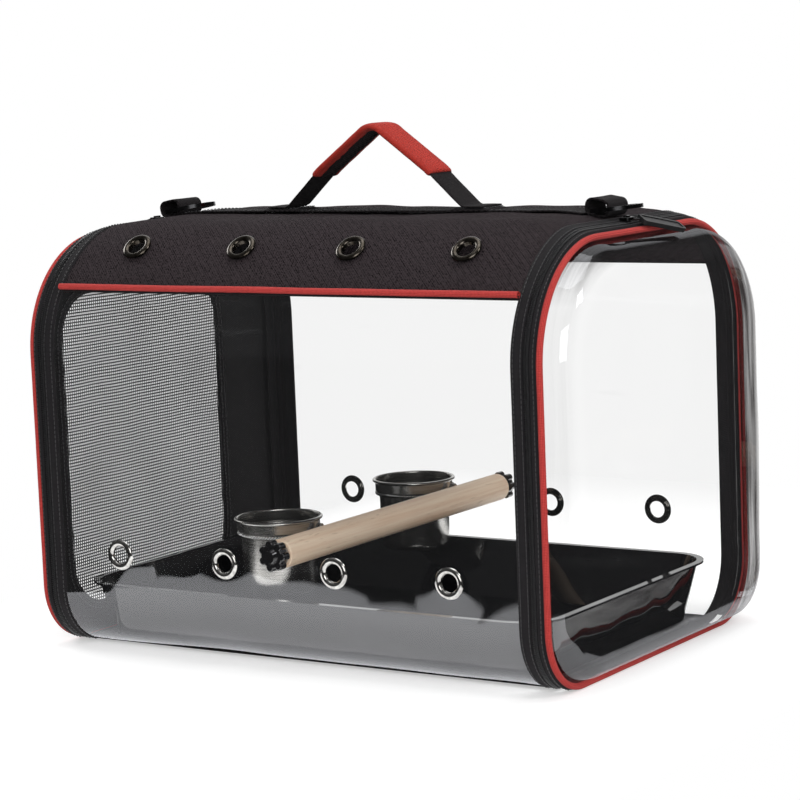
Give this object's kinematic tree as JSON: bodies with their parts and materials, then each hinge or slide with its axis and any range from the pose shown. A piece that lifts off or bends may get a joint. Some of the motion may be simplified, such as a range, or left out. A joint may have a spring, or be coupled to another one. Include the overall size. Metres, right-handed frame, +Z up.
{
  "type": "bird travel carrier",
  "caption": "Soft-sided carrier for a bird: clear windows, zipped clear and mesh end doors, a cloth top with a handle, a perch, two bowls and a drip tray.",
  "frame": {"origin": "on the floor, below the middle of the bag", "axes": "+X along the bag towards the clear end door, -Y towards the front window, +Z up"},
  "size_m": [0.6076, 0.4324, 0.495],
  "materials": {
    "cover_cloth": "woven padded cloth",
    "clear_sheet": "clear flexible sheet",
    "black_cloth": "black cloth",
    "board": "stiff board",
    "tray_plastic": "glossy moulded",
    "black_webbing": "woven band",
    "zip_coil": "nylon coil",
    "red_piping": "woven piping",
    "dark_grommet": "gunmetal plated",
    "bright_grommet": "bright nickel",
    "perch_wood": "smooth pale wood",
    "steel": "zinc plated",
    "mesh": "open mesh",
    "red_grip": "red padded wrap",
    "black_metal": "black plated",
    "pull_rubber": "moulded rubber",
    "knob_plastic": "glossy moulded",
    "bowl_steel": "spun stainless"
  },
  "bodies": {
    "carrier_body": {"top_cover": "cover_cloth", "front_window": "clear_sheet", "back_window": "clear_sheet", "bottom_panel": "black_cloth", "base_board": "board", "drip_tray": "tray_plastic", "left_end_band": "black_webbing", "right_end_band": "black_webbing", "left_body_zip_chain": "zip_coil", "right_body_zip_chain": "zip_coil", "front_seam_piping": "red_piping", "back_seam_piping": "red_piping", "top_grommets": "dark_grommet", "window_grommets": "bright_grommet", "left_d_ring_loop": "black_webbing", "right_d_ring_loop": "black_webbing", "handle_feet": "black_webbing", "perch_dowel": "perch_wood", "perch_washers": "steel", "front_bowl_ring": "steel", "back_bowl_ring": "steel", "bowl_wing_nuts": "steel"},
    "right_door": {"right_door_panel": "clear_sheet", "right_door_gusset": "black_webbing", "right_door_piping": "red_piping", "right_door_zip_chain": "zip_coil"},
    "left_door": {"left_door_border": "black_cloth", "left_door_mesh": "mesh", "left_door_gusset": "black_webbing", "left_door_piping": "red_piping", "left_door_zip_chain": "zip_coil"},
    "handle": {"handle_strap": "black_webbing", "handle_grip": "red_grip"},
    "right_d_ring": {"right_d_ring": "black_metal"},
    "left_d_ring": {"left_d_ring": "black_metal"},
    "right_slider": {"right_zip_slider": "black_metal"},
    "left_slider": {"left_zip_slider": "black_metal"},
    "right_pull": {"right_zip_pull": "pull_rubber", "right_zip_pull_link": "black_metal"},
    "left_pull": {"left_zip_pull": "pull_rubber", "left_zip_pull_link": "black_metal"},
    "front_knob": {"front_perch_knob": "knob_plastic"},
    "back_knob": {"back_perch_knob": "knob_plastic"},
    "front_bowl": {"front_bowl": "bowl_steel"},
    "back_bowl": {"back_bowl": "bowl_steel"}
  },
  "joints": [
    {"name": "right_door_hinge", "type": "hinge", "parent": "carrier_body", "child": "right_door", "pos_m": [0.285, 0, 0.0032], "axis": [0, 1, 0], "range_deg": [0, 80]},
    {"name": "left_door_hinge", "type": "hinge", "parent": "carrier_body", "child": "left_door", "pos_m": [-0.285, 0, 0.0032], "axis": [0, -1, 0], "range_deg": [0, 84]},
    {"name": "handle_swing", "type": "hinge", "parent": "carrier_body", "child": "handle", "pos_m": [0, 0, 0.4408], "axis": [1, 0, 0], "range_deg": [-72, 72]},
    {"name": "right_d_ring_flip", "type": "hinge", "parent": "carrier_body", "child": "right_d_ring", "pos_m": [0.246, 0, 0.4193], "axis": [0, -1, 0], "range_deg": [0, 160]},
    {"name": "left_d_ring_flip", "type": "hinge", "parent": "carrier_body", "child": "left_d_ring", "pos_m": [-0.246, 0, 0.4193], "axis": [0, -1, 0], "range_deg": [0, 150]},
    {"name": "right_slider_travel", "type": "slide", "parent": "right_door", "child": "right_slider", "axis": [0, 1, 0], "range_m": [-0.06, 0.06]},
    {"name": "left_slider_travel", "type": "slide", "parent": "left_door", "child": "left_slider", "axis": [0, 1, 0], "range_m": [-0.06, 0.06]},
    {"name": "right_pull_swing", "type": "hinge", "parent": "right_slider", "child": "right_pull", "pos_m": [0.27845, -0.008, 0.41105], "axis": [0, -1, 0], "range_deg": [0, 60]},
    {"name": "left_pull_swing", "type": "hinge", "parent": "left_slider", "child": "left_pull", "pos_m": [-0.27845, -0.008, 0.41105], "axis": [0, 1, 0], "range_deg": [0, 80]},
    {"name": "front_knob_turn", "type": "hinge", "parent": "carrier_body", "child": "front_knob", "pos_m": [0, -0.2032, 0.113], "axis": [0, -1, 0], "continuous": true},
    {"name": "back_knob_turn", "type": "hinge", "parent": "carrier_body", "child": "back_knob", "pos_m": [0, 0.2032, 0.113], "axis": [0, 1, 0], "continuous": true},
    {"name": "front_bowl_lift", "type": "slide", "parent": "carrier_body", "child": "front_bowl", "axis": [0, 0, 1], "range_m": [0, 0.064]},
    {"name": "back_bowl_lift", "type": "slide", "parent": "carrier_body", "child": "back_bowl", "axis": [0, 0, 1], "range_m": [0, 0.064]}
  ]
}
